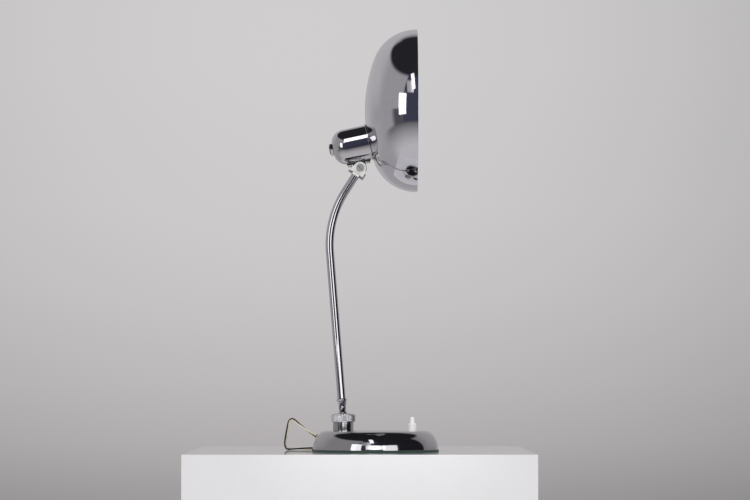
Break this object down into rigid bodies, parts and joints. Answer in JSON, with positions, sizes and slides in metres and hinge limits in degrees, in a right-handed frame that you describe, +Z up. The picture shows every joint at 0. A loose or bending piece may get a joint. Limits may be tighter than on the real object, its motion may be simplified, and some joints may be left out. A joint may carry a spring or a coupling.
{
  "type": "desk lamp",
  "caption": "Chromed desk lamp: round weighted foot with a push switch, ball joint, bent tube arm, tilting lamp housing and dished shade.",
  "frame": {"origin": "on the table, at the centre of the round foot's underside; the cord, its coil and the plug lie outside this count", "axes": "+Z up, +X from the ball joint towards the shade's open side, +Y away from the camera that took the picture"},
  "size_m": [0.1874, 0.2488, 0.5064],
  "materials": {
    "green_felt": "dark green felt pad",
    "zinc_steel": "zinc-plated steel",
    "cast_iron": "raw casting, hidden in the foot",
    "chrome_plate": "mirror chrome plate",
    "shade_metal": "mirror chrome outside, white enamel inside",
    "nickel_plate": "satin nickel plate",
    "fibre": "red-brown fibre",
    "brass": "plain brass",
    "porcelain": "white glaze",
    "bulb_metal": "bright cap",
    "opal_glass": "opal glass",
    "switch_white": "white moulded switch",
    "black_plastic": "moulded black plastic",
    "cord": "twisted pair, one black strand and one cream strand"
  },
  "bodies": {
    "base": {"felt_pad": "green_felt", "bottom_plate": "zinc_steel", "bottom_screws": "zinc_steel", "ballast": "cast_iron", "base_shell": "chrome_plate", "column": "chrome_plate", "lock_nut": "zinc_steel", "switch_body": "switch_white", "cord_bush": "black_plastic", "cord_clamp": "black_plastic", "cord_free": "cord", "cord_coil": "cord", "cord_tail": "cord", "plug_body": "black_plastic", "plug_pins": "nickel_plate"},
    "seat": {"seat_cup": "fibre"},
    "ball": {"ball": "chrome_plate"},
    "arm": {"ball_stem": "chrome_plate", "arm_tube": "chrome_plate", "fork": "nickel_plate", "friction_washers": "fibre", "tilt_screw": "nickel_plate", "spring_washer": "zinc_steel", "tilt_nut": "nickel_plate"},
    "clamp_nut": {"clamp_nut": "chrome_plate"},
    "head": {"tilt_lug": "nickel_plate", "lug_screws": "nickel_plate", "backing_strip": "zinc_steel", "housing": "chrome_plate", "nipple": "brass", "nipple_nut": "nickel_plate", "inner_nut": "zinc_steel", "holder_body": "porcelain", "thread_shell": "brass", "centre_contact": "brass", "shade_ring": "porcelain", "bulb_cap": "bulb_metal", "bulb_glass": "opal_glass", "shade": "shade_metal"},
    "plunger": {"switch_plunger": "switch_white"}
  },
  "joints": [
    {"name": "arm_turn", "type": "hinge", "parent": "base", "child": "seat", "pos_m": [-0.0385, 0, 0.0384], "axis": [0, 0, 1], "range_deg": [-170, 170]},
    {"name": "arm_lean", "type": "hinge", "parent": "seat", "child": "ball", "pos_m": [-0.0385, 0, 0.0384], "axis": [0, 1, 0], "range_deg": [-14, 23]},
    {"name": "arm_twist", "type": "hinge", "parent": "ball", "child": "arm", "pos_m": [-0.0385, 0, 0.0384], "axis": [-0.0799, 0, 0.9968], "range_deg": [-170, 170]},
    {"name": "clamp_nut_turn", "type": "hinge", "parent": "base", "child": "clamp_nut", "pos_m": [-0.0385, 0, 0.0384], "axis": [0, 0, 1], "range_deg": [0, 120]},
    {"name": "head_tilt", "type": "hinge", "parent": "arm", "child": "head", "pos_m": [-0.01835, 0, 0.33971], "axis": [0, 1, 0], "range_deg": [-5, 75]},
    {"name": "switch_press", "type": "slide", "parent": "base", "child": "plunger", "axis": [0, 0, -1], "range_m": [0, 0.003], "stiffness_N_per_m": 1200, "springref_m": -0.002}
  ]
}
